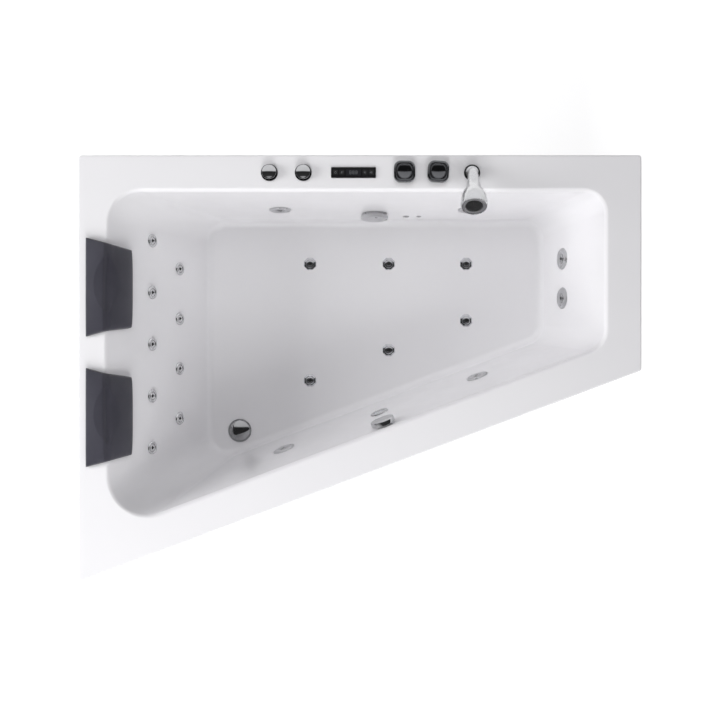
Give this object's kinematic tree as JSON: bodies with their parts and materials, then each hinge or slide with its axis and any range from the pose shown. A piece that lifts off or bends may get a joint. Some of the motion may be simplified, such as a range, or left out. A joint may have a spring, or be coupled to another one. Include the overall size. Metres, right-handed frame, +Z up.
{
  "type": "bathtub",
  "caption": "Asymmetric jetted bathtub with a slanted side, backrest, headrests, deck controls and hand shower, on a steel frame with pump, blower, pipework and aprons.",
  "frame": {"origin": "middle of the outline at the level of the floor it stands on", "axes": "+X along the length towards the narrow foot end, +Y towards the straight back side with the taps, +Z up"},
  "size_m": [1.7, 1.2855, 0.7268],
  "materials": {
    "acrylic": "gloss white sanitary acrylic",
    "particle_board": "raw particle board",
    "galvanised": "galvanised steel",
    "foot_rubber": "black rubber and steel",
    "apron_acrylic": "gloss white acrylic",
    "panel_black": "gloss black",
    "panel_display": "smoked clear",
    "panel_keys": "satin black",
    "regulator_dark": "dark chrome plated plastic",
    "plated_plastic": "chrome plated plastic",
    "tap_body": "raw brass",
    "tap_chrome": "polished chrome",
    "sleeve_chrome": "dark polished chrome",
    "shower_satin": "satin chrome plated plastic",
    "shower_face_dark": "dark grey soft plastic",
    "jet_body_plastic": "white moulded plastic",
    "nozzle_plated": "chrome plated plastic",
    "floor_cap_dark": "dark chrome plated plastic",
    "pipe_white": "white rigid pipe",
    "air_pipe": "translucent hose",
    "pump_black": "black reinforced plastic",
    "motor_paint": "grey painted aluminium",
    "rotor_steel": "machined steel",
    "blower_plastic": "grey moulded plastic",
    "box_plastic": "light grey moulded plastic",
    "drain_chrome": "polished chrome",
    "knob_chrome": "chrome plated plastic",
    "hose_grey": "grey ribbed hose",
    "cable_black": "black cable sheath",
    "lens": "clear lens",
    "headrest_pu": "dark grey satin polyurethane skin"
  },
  "bodies": {
    "bath": {"tub_shell": "acrylic", "base_board": "particle_board", "steel_frame": "galvanised", "levelling_feet": "foot_rubber", "equipment_tray": "particle_board", "front_apron": "apron_acrylic", "end_apron": "apron_acrylic", "apron_clips": "galvanised", "panel_housing": "panel_black", "panel_window": "panel_display", "regulator_bodies": "regulator_dark", "tap_valves": "tap_body", "shower_sleeve": "sleeve_chrome", "jet_housings": "jet_body_plastic", "jet_bezels": "plated_plastic", "back_jet_bodies": "jet_body_plastic", "back_jet_faces": "plated_plastic", "floor_jet_bodies": "jet_body_plastic", "floor_jet_caps": "floor_cap_dark", "suction_body": "jet_body_plastic", "suction_grille": "plated_plastic", "suction_pipe": "pipe_white", "pressure_pipe": "pipe_white", "back_jet_manifold": "pipe_white", "venturi_air_line": "air_pipe", "blower_air_line": "air_pipe", "pump_housing": "pump_black", "pump_motor": "motor_paint", "blower_housing": "blower_plastic", "control_box": "box_plastic", "drain_body": "drain_chrome", "drain_trap": "pipe_white", "overflow_body": "pipe_white", "overflow_hose": "hose_grey", "popup_cable": "cable_black", "light_housing": "plated_plastic", "light_lens": "lens", "level_sensors": "plated_plastic", "headrest_upper": "headrest_pu", "headrest_lower": "headrest_pu"},
    "air_knob_1": {"air_knob_1": "plated_plastic"},
    "air_knob_2": {"air_knob_2": "plated_plastic"},
    "mixer_knob": {"mixer_knob": "tap_chrome"},
    "diverter_knob": {"diverter_knob": "tap_chrome"},
    "hand_shower": {"hand_shower": "shower_satin", "shower_face": "shower_face_dark"},
    "panel_key_1": {"panel_key_1": "panel_keys"},
    "panel_key_2": {"panel_key_2": "panel_keys"},
    "panel_key_3": {"panel_key_3": "panel_keys"},
    "panel_key_4": {"panel_key_4": "panel_keys"},
    "jet_nozzle_1": {"jet_nozzle_1": "nozzle_plated"},
    "jet_nozzle_2": {"jet_nozzle_2": "nozzle_plated"},
    "jet_nozzle_3": {"jet_nozzle_3": "nozzle_plated"},
    "jet_nozzle_4": {"jet_nozzle_4": "nozzle_plated"},
    "jet_nozzle_5": {"jet_nozzle_5": "nozzle_plated"},
    "jet_nozzle_6": {"jet_nozzle_6": "nozzle_plated"},
    "pump_rotor": {"pump_rotor": "rotor_steel"},
    "blower_rotor": {"blower_rotor": "blower_plastic"},
    "overflow_knob": {"overflow_knob": "knob_chrome"},
    "drain_plug": {"drain_plug": "drain_chrome"}
  },
  "joints": [
    {"name": "air_knob_1_turn", "type": "hinge", "parent": "bath", "child": "air_knob_1", "pos_m": [-0.272, 0.58878, 0.6], "axis": [0, 0, 1], "range_deg": [0, 180]},
    {"name": "air_knob_2_turn", "type": "hinge", "parent": "bath", "child": "air_knob_2", "pos_m": [-0.17, 0.58878, 0.6], "axis": [0, 0, 1], "range_deg": [0, 180]},
    {"name": "mixer_turn", "type": "hinge", "parent": "bath", "child": "mixer_knob", "pos_m": [0.134, 0.58878, 0.6], "axis": [0, 0, 1], "range_deg": [-50, 50]},
    {"name": "diverter_turn", "type": "hinge", "parent": "bath", "child": "diverter_knob", "pos_m": [0.235, 0.58878, 0.6], "axis": [0, 0, 1], "range_deg": [-60, 60]},
    {"name": "hand_shower_lift", "type": "slide", "parent": "bath", "child": "hand_shower", "axis": [0, 0, 1], "range_m": [0, 0.25]},
    {"name": "panel_key_1_press", "type": "slide", "parent": "bath", "child": "panel_key_1", "axis": [0, 0, -1], "range_m": [0, 0.0007], "stiffness_N_per_m": 400},
    {"name": "panel_key_2_press", "type": "slide", "parent": "bath", "child": "panel_key_2", "axis": [0, 0, -1], "range_m": [0, 0.0007], "stiffness_N_per_m": 400},
    {"name": "panel_key_3_press", "type": "slide", "parent": "bath", "child": "panel_key_3", "axis": [0, 0, -1], "range_m": [0, 0.0007], "stiffness_N_per_m": 400},
    {"name": "panel_key_4_press", "type": "slide", "parent": "bath", "child": "panel_key_4", "axis": [0, 0, -1], "range_m": [0, 0.0007], "stiffness_N_per_m": 400},
    {"name": "jet_nozzle_1_tilt", "type": "hinge", "parent": "bath", "child": "jet_nozzle_1", "pos_m": [-0.26, 0.52233, 0.34461], "axis": [1, 0, 0], "range_deg": [-15, 15]},
    {"name": "jet_nozzle_2_tilt", "type": "hinge", "parent": "bath", "child": "jet_nozzle_2", "pos_m": [0.356, 0.52233, 0.34461], "axis": [1, 0, 0], "range_deg": [-15, 15]},
    {"name": "jet_nozzle_3_tilt", "type": "hinge", "parent": "bath", "child": "jet_nozzle_3", "pos_m": [0.67494, 0.359, 0.30857], "axis": [0, -1, 0], "range_deg": [-15, 15]},
    {"name": "jet_nozzle_4_tilt", "type": "hinge", "parent": "bath", "child": "jet_nozzle_4", "pos_m": [0.67494, 0.229, 0.30857], "axis": [0, -1, 0], "range_deg": [-15, 15]},
    {"name": "jet_nozzle_5_tilt", "type": "hinge", "parent": "bath", "child": "jet_nozzle_5", "pos_m": [0.3829, -0.03505, 0.36413], "axis": [-0.9359, -0.3523, 0], "range_deg": [-15, 15]},
    {"name": "jet_nozzle_6_tilt", "type": "hinge", "parent": "bath", "child": "jet_nozzle_6", "pos_m": [-0.24413, -0.27111, 0.36413], "axis": [-0.9359, -0.3523, 0], "range_deg": [-15, 15]},
    {"name": "pump_rotor_spin", "type": "hinge", "parent": "bath", "child": "pump_rotor", "pos_m": [-0.72674, 0, 0.215], "axis": [0, 1, 0], "continuous": true},
    {"name": "blower_rotor_spin", "type": "hinge", "parent": "bath", "child": "blower_rotor", "pos_m": [-0.75, -0.3, 0], "axis": [0, 0, 1], "continuous": true},
    {"name": "overflow_knob_turn", "type": "hinge", "parent": "bath", "child": "overflow_knob", "pos_m": [0.07415, -0.17425, 0.552], "axis": [-0.3486, 0.926, 0.1451], "range_deg": [0, 90]},
    {"name": "drain_plug_lift", "type": "slide", "parent": "bath", "child": "drain_plug", "axis": [0, 0, 1], "range_m": [0, 0.008]}
  ],
  "couplings": [
    {"joint": "drain_plug_lift", "follows": "overflow_knob_turn", "m_per_rad": 0.005092}
  ]
}
